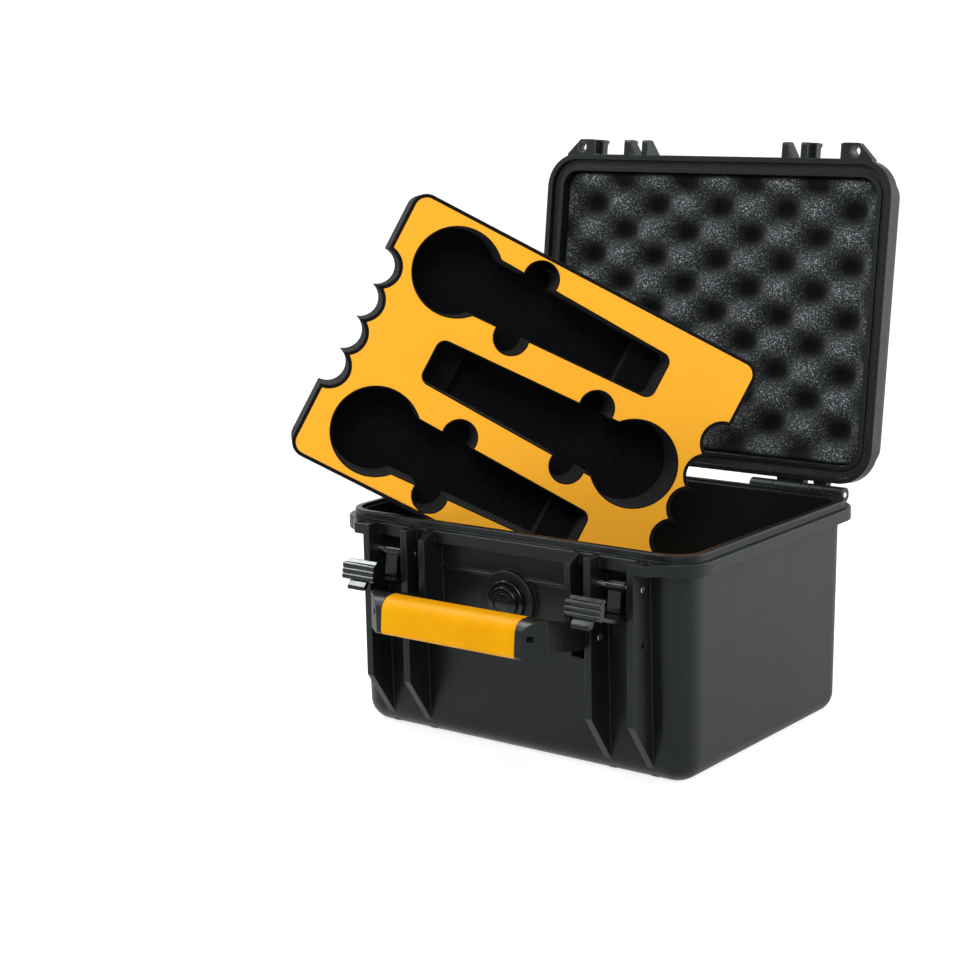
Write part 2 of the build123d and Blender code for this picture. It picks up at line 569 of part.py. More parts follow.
# ---- Latches: a C-shaped clamp on a pin in each bay, made shut and swung open ---------
for side, name in ((-1, "latch_left"), (1, "latch_right")):
    with BuildPart() as latch:
        # Barrel round the pin and the neck that carries the plate.
        with BuildSketch(Plane.YZ.offset(side * BAY_MIDDLE)):
            with Locations((-LATCH_Y, LATCH_Z)):
                Circle(LATCH_BARREL_RADIUS)
        extrude(amount=LATCH_BARREL / 2, both=True)
        with BuildSketch(Plane.YZ.offset(side * BAY_MIDDLE)):
            with Locations(((PLATE_BACK - LATCH_Y) / 2, LATCH_Z)):
                Rectangle(LATCH_REACH + LATCH_PLATE / 2, NECK_THICK)
        extrude(amount=LATCH_NECK / 2, both=True)
        # Plate in front of the ribs, crown over the catch and its three grip bars.
        with BuildSketch(Plane.YZ.offset(side * BAY_MIDDLE)):
            with BuildLine():
                Line((PLATE_BACK, PLATE_FOOT), (PLATE_FRONT, PLATE_FOOT))
                ThreePointArc(
                    (PLATE_FRONT, PLATE_FOOT),
                    (PLATE_FRONT - PLATE_BOW, PLATE_MIDDLE),
                    (PLATE_FRONT, CROWN_UNDER),
                )
                Polyline(
                    (PLATE_FRONT, CROWN_UNDER),
                    (PLATE_FRONT, CROWN_TOP),
                    (-LATCH_Y - CROWN_BACK, CROWN_TOP),
                    (-LATCH_Y - CROWN_BACK, CROWN_UNDER),
                    (PLATE_BACK, CROWN_UNDER),
                )
                ThreePointArc(
                    (PLATE_BACK, CROWN_UNDER),
                    (PLATE_BACK - PLATE_BOW, PLATE_MIDDLE),
                    (PLATE_BACK, PLATE_FOOT),
                )
            make_face()
            bar_height = CROWN_TOP + BAR_PROUD - BAR_RADIUS
            for bar in range(GRIP_BARS):
                with Locations((PLATE_FRONT + BAR_BACK + bar * BAR_PITCH, bar_height)):
                    Circle(BAR_RADIUS)
        extrude(amount=LATCH_WIDTH / 2, both=True)
        # Nose that hooks behind the lip of the catch.
        with BuildSketch(Plane.YZ.offset(side * BAY_MIDDLE)):
            with BuildLine():
                Polyline(
                    (-LATCH_Y - CROWN_BACK, CROWN_TOP),
                    (-LATCH_Y - NOSE_BACK, CATCH_TOP + LATCH_PLATE),
                    (-LATCH_Y - NOSE_BACK, CATCH_TOP + SLIDE),
                    (-LATCH_Y - NOSE_FRONT, CATCH_TOP + SLIDE),
                    (-LATCH_Y - NOSE_FRONT - CATCH_LIP, CROWN_UNDER),
                    (-LATCH_Y - CROWN_BACK - LATCH_PLATE, CROWN_UNDER),
                    close=True,
                )
            make_face()
        extrude(amount=LATCH_NOSE / 2, both=True)
        # Pull tab in front of the crown.
        with BuildSketch(Plane.YZ.offset(side * BAY_MIDDLE)):
            with BuildLine():
                Polyline(
                    (PLATE_FRONT + LATCH_PLATE / 2, CROWN_UNDER),
                    (PLATE_FRONT - TAB_REACH + TAB_THICK / 2, CROWN_UNDER + TAB_THICK),
                    (PLATE_FRONT - TAB_REACH, CROWN_TOP + TAB_THICK),
                    (PLATE_FRONT - TAB_REACH + TAB_THICK, CROWN_TOP + TAB_THICK),
                    (PLATE_FRONT, CROWN_TOP),
                    close=True,
                )
            make_face()
        extrude(amount=LATCH_TAB / 2, both=True)
        with BuildSketch(Plane.YZ.offset(side * BAY_MIDDLE)):
            with Locations((-LATCH_Y, LATCH_Z)):
                Circle(LATCH_PIN / 2 + RUNNING)
        extrude(amount=LATCH_WIDTH, both=True, mode=Mode.SUBTRACT)
    latch.part = latch.part.rotate(LATCH_AXIS, LATCH_OPEN)
    latch.part.label = name
    export_step(latch.part, f"parts/{name}.step")

for side, name in ((-1, "latch_pin_left"), (1, "latch_pin_right")):
    with BuildPart() as latch_pin:
        with BuildSketch(Plane.YZ.offset(side * BAY_MIDDLE)):
            with Locations((-LATCH_Y, LATCH_Z)):
                Circle(LATCH_PIN / 2)
        extrude(amount=(BAY_OUTER - BAY_INNER) / 2, both=True)
        chamfer(latch_pin.edges().filter_by(GeomType.CIRCLE), PIN_CHAMFER)
    latch_pin.part.label = name
    export_step(latch_pin.part, f"parts/{name}.step")

# ---- Handle: a moulded frame, a rubber sleeve and two pins ----------------------------
def grip_section(inset):
    """The grip's section, drawn in by inset: flat below, well rounded at its upper front."""
    with BuildSketch() as section:
        with BuildLine():
            Polyline(
                (-GRIP_BACK - inset, GRIP_TOP - inset),
                (-GRIP_FRONT + GRIP_LEAN + inset, GRIP_TOP - inset),
                (-GRIP_FRONT + inset, GRIP_UNDER + inset),
                (-GRIP_BACK - inset, GRIP_UNDER + inset),
                close=True,
            )
        make_face()
        brim = section.vertices().group_by(Axis.Y)[-1].sort_by(Axis.X)
        fillet(brim[0], GRIP_BRIM - inset)
        fillet(section.vertices().group_by(Axis.X)[-1], GRIP_SHOULDER - inset)
        fillet(section.vertices().group_by(Axis.Y)[0].sort_by(Axis.X)[0], GRIP_HEEL)
    return section.sketch


with BuildPart() as handle_frame:
    with BuildSketch(Plane.YZ):
        add(grip_section(CORE_INSET))
    extrude(amount=GRIP_END + EDGE_ROUND, both=True)
    with BuildSketch(Plane.YZ.offset(GRIP_END + SEAT)):
        add(grip_section(0))
    extrude(amount=ARM_OUTER - GRIP_END - SEAT)
    # Slanted half-round face of the end cap, with its small square hole.
    with BuildSketch(Plane.XY.offset(GRIP_UNDER - EDGE_ROUND)):
        with BuildLine():
            Polyline(
                (GRIP_END + CAP_BAND, -GRIP_FRONT),
                (ARM_OUTER, -GRIP_FRONT + CAP_SLANT),
                (ARM_OUTER + EDGE_ROUND, -GRIP_FRONT + CAP_SLANT),
                (ARM_OUTER + EDGE_ROUND, -GRIP_FRONT - EDGE_ROUND),
                (GRIP_END + CAP_BAND, -GRIP_FRONT - EDGE_ROUND),
                close=True,
            )
        make_face()
    extrude(amount=GRIP_TOP - GRIP_UNDER + 2 * EDGE_ROUND, mode=Mode.SUBTRACT)
    with BuildSketch(Plane.XZ.offset(GRIP_FRONT)):
        with Locations((CAP_HOLE_X, CAP_HOLE_Z)):
            Rectangle(CAP_HOLE, CAP_HOLE)
    extrude(amount=-CAP_HOLE_DEPTH, mode=Mode.SUBTRACT)
    # Arm back to the pin.
    with BuildSketch(Plane.YZ.offset(ARM_OUTER - ARM_THICK)):
        with BuildLine():
            Polyline(
                (-GRIP_BACK - EDGE_ROUND, (GRIP_TOP + GRIP_UNDER + ARM_DEPTH) / 2),
                (-HANDLE_Y, HANDLE_Z + ARM_BOSS),
                (-HANDLE_Y, HANDLE_Z - ARM_BOSS),
                (-GRIP_BACK - EDGE_ROUND, (GRIP_TOP + GRIP_UNDER - ARM_DEPTH) / 2),
                close=True,
            )
        make_face()
        with Locations((-HANDLE_Y, HANDLE_Z)):
            Circle(ARM_BOSS)
    extrude(amount=ARM_THICK)
    mirror(about=Plane.YZ)
    with BuildSketch(Plane.YZ):
        with Locations((-HANDLE_Y, HANDLE_Z)):
            Circle(HANDLE_PIN / 2 + RUNNING)
    extrude(amount=HALF_W, both=True, mode=Mode.SUBTRACT)
handle_frame.part.label = "handle_frame"
export_step(handle_frame.part, "parts/handle_frame.step")

with BuildPart() as handle_grip:
    with BuildSketch(Plane.YZ):
        add(grip_section(0))
        add(grip_section(CORE_INSET - FIT), mode=Mode.SUBTRACT)
    extrude(amount=GRIP_END, both=True)
handle_grip.part.label = "handle_grip"
export_step(handle_grip.part, "parts/handle_grip.step")

for side, name in ((-1, "handle_pin_left"), (1, "handle_pin_right")):
    with BuildPart() as handle_pin:
        pin_start = BRACKET_INNER
        pin_end = BAY_INNER + RIB_THICK
        with BuildSketch(Plane.YZ.offset(side * (pin_start + pin_end) / 2)):
            with Locations((-HANDLE_Y, HANDLE_Z)):
                Circle(HANDLE_PIN / 2)
        extrude(amount=(pin_end - pin_start) / 2, both=True)
        chamfer(handle_pin.edges().filter_by(GeomType.CIRCLE), PIN_CHAMFER)
    handle_pin.part.label = name
    export_step(handle_pin.part, f"parts/{name}.step")

# ---- Pressure valve -------------------------------------------------------------------
VALVE_AXIS = Plane(origin=(0, -BOSS_FACE, VALVE_Z), x_dir=(1, 0, 0), z_dir=(0, -1, 0))
STEM_END = BOSS_FACE + INSIDE_FRONT + VALVE_RING
with BuildPart() as valve_body:
    with BuildSketch(VALVE_AXIS.offset(SEAT)):
        Circle(VALVE_FLANGE / 2)
    extrude(amount=VALVE_FLANGE_THICK)
    fillet(valve_body.edges().sort_by(Axis.Y)[0], EDGE_ROUND)
    with BuildSketch(VALVE_AXIS.offset(SEAT)):
        Circle(VALVE_BORE / 2 - FIT)
    extrude(amount=-STEM_END - SEAT)
    with BuildSketch(VALVE_AXIS.offset(SEAT)):
        Circle(VENT_HOLE / 2)
    extrude(amount=-STEM_END - SEAT, mode=Mode.SUBTRACT)
valve_body.part.label = "valve_body"
export_step(valve_body.part, "parts/valve_body.step")

with BuildPart() as valve_cap:
    with BuildSketch(VALVE_AXIS.offset(SEAT + VALVE_FLANGE_THICK)):
        Circle(VALVE_KNOB / 2)
    extrude(amount=VALVE_KNOB_THICK)
    fillet(valve_cap.edges().sort_by(Axis.Y)[0], EDGE_ROUND)
    with BuildSketch(VALVE_AXIS.offset(SEAT + VALVE_FLANGE_THICK + VALVE_KNOB_THICK)):
        Circle(CAP_GROOVE_OUTER)
        Circle(CAP_GROOVE_INNER, mode=Mode.SUBTRACT)
        with Locations((-CAP_DOT_X, CAP_DOT_Y), (CAP_DOT_X, CAP_DOT_Y)):
            Circle(CAP_DOT)
    extrude(amount=-CAP_GROOVE_DEPTH, mode=Mode.SUBTRACT)
valve_cap.part.label = "valve_cap"
export_step(valve_cap.part, "parts/valve_cap.step")

with BuildPart() as valve_membrane:
    with BuildSketch(VALVE_AXIS.offset(SEAT)):
        Circle(VENT_HOLE / 2 - FIT)
    extrude(amount=-EDGE_ROUND)
valve_membrane.part.label = "valve_membrane"
export_step(valve_membrane.part, "parts/valve_membrane.step")

with BuildPart() as valve_washer:
    with BuildSketch(VALVE_AXIS):
        Circle(VALVE_FLANGE / 2 - EDGE_ROUND)
        Circle(VALVE_BORE / 2, mode=Mode.SUBTRACT)
    extrude(amount=SEAT)
valve_washer.part.label = "valve_washer"
export_step(valve_washer.part, "parts/valve_washer.step")

with BuildPart() as valve_ring:
    with BuildSketch(VALVE_AXIS.offset(-STEM_END)):
        RegularPolygon(RING_RADIUS, RING_SIDES)
        Circle(VALVE_BORE / 2, mode=Mode.SUBTRACT)
    extrude(amount=VALVE_RING)
valve_ring.part.label = "valve_ring"
export_step(valve_ring.part, "parts/valve_ring.step")


# ---- Foam trays and the floor pad -----------------------------------------------------
def slot_outline(finger_along, margin):
    """A microphone slot with its head at the origin, grown by margin."""
    with BuildSketch() as slot:
        Circle(HEAD_RADIUS + margin)
        with BuildLine():
            Polyline(
                (0, SLOT_HEAD_END + margin),
                (0, -SLOT_HEAD_END - margin),
                (SLOT_RUN + margin, -SLOT_TAIL_END - margin),
                (SLOT_RUN + margin, SLOT_TAIL_END + margin),
                close=True,
            )
        make_face()
        fillet(slot.vertices().group_by(Axis.X)[-1], SLOT_TAIL_ROUND + margin)
        with Locations((finger_along, FINGER_OUT), (finger_along, -FINGER_OUT)):
            Circle(FINGER_RADIUS + margin)
    return slot.sketch


def slot_places(length):
    """Where the three heads lie; the middle slot is turned round."""
    head = length / 2 - HEAD_OFFSET
    return [
        Location((-head, ROW_SHIFT + ROW_PITCH, 0)),
        Location((head, ROW_SHIFT, 0), (0, 0, 180)),
        Location((-head, ROW_SHIFT - ROW_PITCH, 0)),
    ]


def slot_outlines(length, margin):
    """The three slots of a tray, grown by margin."""
    with BuildSketch() as rows:
        for place, finger_along in zip(slot_places(length), FINGER_ALONG):
            with Locations(place):
                add(slot_outline(finger_along, margin))
    return rows.sketch


def tray_outline(length, inset):
    """A tray's plan with a row of scallops along each short edge, drawn in by inset."""
    RectangleRounded(length - 2 * inset, TRAY_WIDTH - 2 * inset, TRAY_CORNER - inset)
    with Locations((0, SCALLOP_SHIFT)):
        with GridLocations(length, SCALLOP_PITCH, 2, SCALLOP_COUNT):
            Circle(SCALLOP_RADIUS + inset, mode=Mode.SUBTRACT)


# The leaning tray's face is turned to the right, tipped back and rolled in its own plane.
TRAY_TURN = 43.04        # degrees
TRAY_TIP = 4.97
TRAY_ROLL = -29.19
CORNER_X = 30.2          # the face's lowest corner, before it is rounded
CORNER_Y = 93.3 - HALF_D
tray_normal = Vector(
    math.sin(math.radians(TRAY_TURN)) * math.cos(math.radians(TRAY_TIP)),
    -math.cos(math.radians(TRAY_TURN)) * math.cos(math.radians(TRAY_TIP)),
    math.sin(math.radians(TRAY_TIP)),
)
tray_level = Vector(math.cos(math.radians(TRAY_TURN)), math.sin(math.radians(TRAY_TURN)), 0)
tray_rise = tray_normal.cross(tray_level)
tray_along = (tray_level * math.cos(math.radians(TRAY_ROLL))
              + tray_rise * math.sin(math.radians(TRAY_ROLL)))
tray_up = tray_normal.cross(tray_along)
# Rounding lifts the corner, and the back edge hangs lower than the face.
corner_lift = TRAY_CORNER * (
    math.hypot(tray_along.Z, tray_up.Z) - abs(tray_along.Z) - tray_up.Z
)
CORNER_Z = LOWER_TRAY_TOP + SEAT + corner_lift + TRAY_THICK * tray_normal.Z
tray_middle = (Vector(CORNER_X, CORNER_Y, CORNER_Z)
               - tray_along * (TRAY_LENGTH / 2) + tray_up * (TRAY_WIDTH / 2))
LEANING = Plane(origin=tray_middle, x_dir=tray_along, z_dir=tray_normal)
LYING = Plane.XY.offset(LOWER_TRAY_TOP)
LOWER_THICK = LOWER_TRAY_TOP - FLOOR - PAD_THICK - 2 * SEAT

for face_plane, length, thick, foam_name, face_name in (
    (LEANING, TRAY_LENGTH, TRAY_THICK, "tray_foam", "tray_face"),
    (LYING, LOWER_LENGTH, LOWER_THICK, "lower_tray_foam", "lower_tray_face"),
):
    slot_depth = thick - SLOT_FLOOR
    with BuildPart() as tray_foam:
        with BuildSketch(face_plane.offset(-thick)):
            tray_outline(length, 0)
        extrude(amount=thick)
        with BuildSketch(face_plane.offset(-FACE_THICK)):
            tray_outline(length, FACE_INSET)
            add(slot_outlines(length, SLOT_MARGIN - FIT), mode=Mode.SUBTRACT)
        extrude(amount=FACE_THICK, mode=Mode.SUBTRACT)
        with BuildSketch(face_plane):
            add(slot_outlines(length, 0))
        extrude(amount=-slot_depth, mode=Mode.SUBTRACT)
        with BuildSketch(face_plane.offset(-slot_depth)):
            with Locations(slot_places(length)):
                with Locations((SLOT_RUN - TAIL_STEP / 2, 0)):
                    Rectangle(TAIL_STEP + 2 * EDGE_ROUND, 2 * SLOT_TAIL_END + 2 * EDGE_ROUND)
        extrude(amount=STEP_HEIGHT)
    tray_foam.part.label = foam_name
    export_step(tray_foam.part, f"parts/{foam_name}.step")
    with BuildPart() as tray_face:
        with BuildSketch(face_plane.offset(-FACE_THICK)):
            tray_outline(length, FACE_INSET + FIT)
            add(slot_outlines(length, SLOT_MARGIN), mode=Mode.SUBTRACT)
        extrude(amount=FACE_THICK)
    tray_face.part.label = face_name
    export_step(tray_face.part, f"parts/{face_name}.step")

with BuildPart() as floor_pad:
    pad_inset = 2 * INNER_RADIUS
    with BuildSketch(Plane.XY.offset(FLOOR + SEAT)):
        RectangleRounded(LOWER_LENGTH - pad_inset, TRAY_WIDTH - pad_inset, TRAY_CORNER)
    extrude(amount=PAD_THICK)
floor_pad.part.label = "floor_pad"
export_step(floor_pad.part, "parts/floor_pad.step")
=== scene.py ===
import bpy
import bmesh
import math
from mathutils import Matrix, Vector, noise


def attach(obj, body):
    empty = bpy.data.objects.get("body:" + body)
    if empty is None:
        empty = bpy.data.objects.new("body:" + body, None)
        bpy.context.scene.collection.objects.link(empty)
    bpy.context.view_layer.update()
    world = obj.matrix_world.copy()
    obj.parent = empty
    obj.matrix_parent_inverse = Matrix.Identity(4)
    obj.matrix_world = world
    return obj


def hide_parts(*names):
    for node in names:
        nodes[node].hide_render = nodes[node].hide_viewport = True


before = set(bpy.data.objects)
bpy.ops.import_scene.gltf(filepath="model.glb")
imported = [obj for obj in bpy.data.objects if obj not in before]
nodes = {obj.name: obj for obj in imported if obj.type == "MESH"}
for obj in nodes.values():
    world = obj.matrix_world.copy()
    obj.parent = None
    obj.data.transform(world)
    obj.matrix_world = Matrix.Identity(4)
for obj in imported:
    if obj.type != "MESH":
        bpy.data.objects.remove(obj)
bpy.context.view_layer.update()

MM_PER_M = 1000

# The photograph's camera, in degrees, metres, and pixels of the 960-pixel frame.
CAMERA_AZIMUTH, CAMERA_ELEVATION, CAMERA_ROLL = 37.51, 11.57, -1.24
CAMERA_TARGET = (-0.06809, -0.03770, 0.15639)
CAMERA_DISTANCE = 1.41039
FOCAL_PIXELS, FRAME_PIXELS = 2168.06, 960
SENSOR_WIDTH = 36

# Name, place, what it faces, width, height and power of each lamp.
LAMPS = (
    ("key", (2.5, -3.7, 2.9), (0, 0, 0.16), 2.6, 2.0, 166),
    ("rim", (1.9, 1.5, 0.75), (0.1, 0, 0.12), 1.2, 1.5, 66),
    ("edge_strip", (-1.9, 0.0, 2.4), (0, 0, 0.15), 2.2, 0.5, 80),
    ("front_strip", (-1.9, -1.75, 1.85), (0, 0, 0.12), 1.3, 0.08, 18),
    ("fill", (-2.6, -1.6, 0.9), (0, 0, 0.12), 0.9, 1.6, 10),
)
WHITE = (1, 1, 1)
WORLD_SEEN, WORLD_LIT = 1.0, 0.22
FLOOR_MATTE, FLOOR_GLOW, FLOOR_BOUNCE = 0.36, 0.77, 0.80
FLOOR_HALF_WIDTH, FLOOR_DEPTH, FLOOR_BEND, FLOOR_TOP = 6.0, 4.0, 1.2, 5.0
FLOOR_BEND_STEPS = 12

# Where the lid turns, how far it stands open, and the wavelengths of its foam, in metres.
LID_HINGE = (0, 0.1125, 0.1398)
LID_OPEN = math.radians(97.6)
WAVE_X = 0.051
WAVE_Y = 0.036

# Tones of the gloss and of the coloured pieces.
COOL = (0.88, 0.97, 1.0)
ORANGE = (0.880, 0.408, 0.030)
YELLOW = (0.675, 0.312, 0.0003)


# ---- Camera, light and floor ------------------------------------------------------------
def add_object(name, data):
    made = bpy.data.objects.new(name, data)
    bpy.context.scene.collection.objects.link(made)
    return made


def place_camera():
    """The photograph's own camera: 37.5 degrees to the right, 11.6 up, slightly rolled."""
    azimuth, elevation, roll = map(
        math.radians, (CAMERA_AZIMUTH, CAMERA_ELEVATION, CAMERA_ROLL)
    )
    forward = Vector((
        -math.sin(azimuth) * math.cos(elevation),
        math.cos(azimuth) * math.cos(elevation),
        -math.sin(elevation),
    ))
    level = Vector((math.cos(azimuth), math.sin(azimuth), 0))
    rise = level.cross(forward)
    right = level * math.cos(roll) + rise * math.sin(roll)
    up = rise * math.cos(roll) - level * math.sin(roll)
    data = bpy.data.cameras.new("Camera")
    data.sensor_width = SENSOR_WIDTH
    data.lens = FOCAL_PIXELS / FRAME_PIXELS * SENSOR_WIDTH
    data.clip_start = 0.05
    data.clip_end = 50
    camera = add_object("Camera", data)
    turn = Matrix((right, up, -forward)).transposed().to_4x4()
    place = Vector(CAMERA_TARGET) - forward * CAMERA_DISTANCE
    camera.matrix_world = Matrix.Translation(place) @ turn
    bpy.context.scene.camera = camera


def softbox(name, place, aim, width, height, power):
    data = bpy.data.lights.new(name, "AREA")
    data.shape = "RECTANGLE"
    data.size = width
    data.size_y = height
    data.energy = power
    lamp = add_object(name, data)
    lamp.location = place
    lamp.rotation_euler = (Vector(aim) - Vector(place)).to_track_quat("-Z", "Y").to_euler()


def scaled(tone, factors):
    """A tone times one factor, or times one factor for each channel."""
    if not isinstance(factors, tuple):
        factors = (factors,) * 3
    return tuple(v * k for v, k in zip(tone, factors))


class Graph:
    """A material's node tree, built a node at a time. edge_radius is in millimetres."""

    def __init__(self, name, edge_radius=0.0):
        self.material = bpy.data.materials.new(name)
        self.material.use_nodes = True
        self.tree = self.material.node_tree
        self.tree.nodes.clear()
        self.output = self.tree.nodes.new("ShaderNodeOutputMaterial")
        self.edge_radius = edge_radius
        self.place = None
        self.round = None

    def node(self, kind, inputs=None, **settings):
        made = self.tree.nodes.new("ShaderNode" + kind)
        for key, value in settings.items():
            setattr(made, key, value)
        for key, value in (inputs or {}).items():
            self.put(made.inputs[key], value)
        return made

    def put(self, socket, value):
        if isinstance(value, bpy.types.NodeSocket):
            self.tree.links.new(value, socket)
        elif isinstance(value, tuple) and len(value) == 3 and socket.type == "RGBA":
            socket.default_value = (*value, 1)
        else:
            socket.default_value = value

    def coords(self, stretch=(1, 1, 1)):
        """Places on the part in metres; a stretch under 1 draws features out on that axis."""
        if self.place is None:
            self.place = self.node("TexCoord").outputs["Object"]
        if stretch == (1, 1, 1):
            return self.place
        return self.node("Mapping", {"Vector": self.place, "Scale": stretch}).outputs["Vector"]

    def noise(self, size, detail, rough, stretch=(1, 1, 1)):
        """Noise of about that feature size in millimetres, from 0 to 1."""
        return self.node(
            "TexNoise",
            {"Vector": self.coords(stretch), "Scale": MM_PER_M / size, "Detail": detail,
             "Roughness": rough},
        ).outputs["Fac"]

    def scatter(self, size):
        """Cells of that size in millimetres, each with a distance and a colour of its own."""
        return self.node("TexVoronoi", {"Vector": self.coords(), "Scale": MM_PER_M / size})

    def dots(self, size, width, share):
        """Round specks in some of the cells of a scatter, from 0 to 1."""
        cells = self.scatter(size)
        chance = self.node("SeparateColor", {"Color": cells.outputs["Color"]})
        spot = self.spread(cells.outputs["Distance"], width, width * 0.55)
        kept = self.spread(chance.outputs["Red"], 1 - share, 1.0)
        return self.times(spot, kept)

    def math(self, operation, a, b=0.5):
        return self.node("Math", {0: a, 1: b}, operation=operation).outputs[0]

    def times(self, a, b):
        return self.math("MULTIPLY", a, b)

    def spread(self, value, low, high, to_low=0.0, to_high=1.0):
        """Takes low to high over to to_low to to_high, and stops at both ends."""
        return self.node(
            "MapRange",
            {"Value": value, "From Min": low, "From Max": high, "To Min": to_low,
             "To Max": to_high},
        ).outputs["Result"]

    def blend(self, factor, a, b):
        made = self.node("Mix", data_type="RGBA")
        self.put(made.inputs["Factor"], factor)
        self.put(made.inputs[6], a)
        self.put(made.inputs[7], b)
        return made.outputs[2]

    def bump(self, height, strength, depth, normal=None):
        """Raises the surface by height, depth in millimetres."""
        inputs = {"Height": height, "Strength": strength, "Distance": depth / MM_PER_M}
        if normal is not None:
            inputs["Normal"] = normal
        return self.node("Bump", inputs).outputs["Normal"]

    def rounded(self):
        """A normal that rolls over sharp edges."""
        if self.round is None:
            radius = self.edge_radius / MM_PER_M
            self.round = self.node("Bevel", {"Radius": radius}, samples=4)
        return self.round.outputs["Normal"]

    def edges(self):
        """0 on flat faces and 1 along edges."""
        flat = self.node("NewGeometry").outputs["Normal"]
        agree = self.node(
            "VectorMath", {0: flat, 1: self.rounded()}, operation="DOT_PRODUCT"
        ).outputs["Value"]
        return self.spread(self.math("SUBTRACT", 1.0, agree), low=0.01, high=0.25)

    def surface(self, **inputs):
        shader = self.node("BsdfPrincipled")
        for key, value in inputs.items():
            self.put(shader.inputs[key.replace("_", " ")], value)
        self.tree.links.new(shader.outputs[0], self.output.inputs["Surface"])
        return self.material


def seen_directly(tree):
    """1 for what the camera sees, straight or in gloss and glass, and 0 for other light."""
    path = tree.nodes.new("ShaderNodeLightPath")
    total = path.outputs["Is Camera Ray"]
    for ray in ("Is Glossy Ray", "Is Transmission Ray"):
        either = tree.nodes.new("ShaderNodeMath")
        either.operation = "MAXIMUM"
        tree.links.new(total, either.inputs[0])
        tree.links.new(path.outputs[ray], either.inputs[1])
        total = either.outputs[0]
    return total


def mix_by_ray(tree, lit, seen, surface):
    """Shows the seen shader directly, and lights the part with the lit one."""
    mix = tree.nodes.new("ShaderNodeMixShader")
    tree.links.new(seen_directly(tree), mix.inputs[0])
    tree.links.new(lit.outputs[0], mix.inputs[1])
    tree.links.new(seen.outputs[0], mix.inputs[2])
    tree.links.new(mix.outputs[0], surface)


def make_world():
    world = bpy.data.worlds.new("Studio")
    bpy.context.scene.world = world
    world.use_nodes = True
    tree = world.node_tree
    tree.nodes.clear()
    shaders = []
    for strength in (WORLD_LIT, WORLD_SEEN):
        shader = tree.nodes.new("ShaderNodeBackground")
        shader.inputs["Color"].default_value = (*WHITE, 1)
        shader.inputs["Strength"].default_value = strength
        shaders.append(shader)
    lit, seen = shaders
    out = tree.nodes.new("ShaderNodeOutputWorld")
    mix_by_ray(tree, lit, seen, out.inputs["Surface"])


def floor_material():
    g = Graph("floor")
    matte = g.node("BsdfDiffuse", {"Color": scaled(WHITE, FLOOR_MATTE)})
    glow = g.node("Emission", {"Color": WHITE, "Strength": FLOOR_GLOW})
    seen = g.node("AddShader")
    g.tree.links.new(matte.outputs[0], seen.inputs[0])
    g.tree.links.new(glow.outputs[0], seen.inputs[1])
    bounce = g.node("BsdfDiffuse", {"Color": scaled(WHITE, FLOOR_BOUNCE)})
    mix_by_ray(g.tree, bounce, seen, g.output.inputs["Surface"])
    return g.material


def make_floor():
    """A pale floor that curves up behind, bright to the camera, with the part's soft shadow."""
    bend_start = FLOOR_DEPTH - FLOOR_BEND
    rows = [(-FLOOR_HALF_WIDTH, 0.0), (0.0, 0.0), (bend_start, 0.0)]
    for step in range(1, FLOOR_BEND_STEPS + 1):
        angle = math.radians(90 * step / FLOOR_BEND_STEPS)
        rows.append((
            bend_start + FLOOR_BEND * math.sin(angle), FLOOR_BEND * (1 - math.cos(angle))
        ))
    rows.append((FLOOR_DEPTH, FLOOR_TOP))
    azimuth = math.radians(CAMERA_AZIMUTH)
    across = Vector((math.cos(azimuth), math.sin(azimuth), 0)) * FLOOR_HALF_WIDTH
    away = Vector((-math.sin(azimuth), math.cos(azimuth), 0))
    bm = bmesh.new()
    lines = []
    for along, height in rows:
        base = away * along + Vector((0, 0, height))
        lines.append([bm.verts.new(base - across), bm.verts.new(base + across)])
    for a, b in zip(lines, lines[1:]):
        bm.faces.new((a[0], a[1], b[1], b[0])).smooth = True
    mesh = bpy.data.meshes.new("Floor")
    bm.to_mesh(mesh)
    bm.free()
    mesh.materials.append(floor_material())
    add_object("Floor", mesh)


# ---- Materials -----------------------------------------------------------------------------
def moulded(name, tone, rough, grain, grain_size):
    """Black moulded resin: fine grain on its side walls, smoother in front, polished edges
    lightened partly by wear and partly by a painted highlight.
    """
    g = Graph(name, edge_radius=0.9)
    facing = g.node("SeparateXYZ", {"Vector": g.node("TexCoord").outputs["Normal"]})
    sideways = g.spread(g.math("ABSOLUTE", facing.outputs["X"]), 0.35, 0.75)
    amount = g.spread(sideways, 0.0, 1.0, 0.25, 1.0)
    relief = g.times(g.noise(grain_size, detail=3.0, rough=0.65), amount)
    swirl = g.noise(38.0, detail=4.0, rough=0.6)
    scuffs = g.spread(g.noise(9.0, detail=6.0, rough=0.7, stretch=(1, 1, 0.25)), 0.60, 0.78)
    wear_and_highlight_patches = g.spread(g.noise(6.0, detail=4.0, rough=0.6), 0.35, 0.7, 0.5, 1.0)
    wear_and_edge_highlight = g.times(g.edges(), wear_and_highlight_patches)
    pale = scaled(tone, 13)
    colour = g.blend(g.spread(swirl, 0.3, 0.7), scaled(tone, 0.75), tone)
    colour = g.blend(g.times(scuffs, 0.03), colour, pale)
    # The edges lighten, partly as wear and partly as a painted highlight.
    colour = g.blend(g.times(wear_and_edge_highlight, 0.5), colour, pale)
    matte = g.spread(swirl, 0.25, 0.75, rough - 0.04, rough + 0.05)
    matte = g.math("ADD", matte, g.times(sideways, 0.16))
    matte = g.math("SUBTRACT", matte, g.times(wear_and_edge_highlight, 0.20))
    matte = g.math("ADD", matte, g.times(scuffs, 0.06))
    normal = g.bump(relief, strength=grain, depth=0.30, normal=g.rounded())
    normal = g.bump(swirl, strength=0.10, depth=0.6, normal=normal)
    return g.surface(
        Base_Color=colour, Roughness=matte, Normal=normal, Specular_IOR_Level=0.22,
        Specular_Tint=COOL,
    )


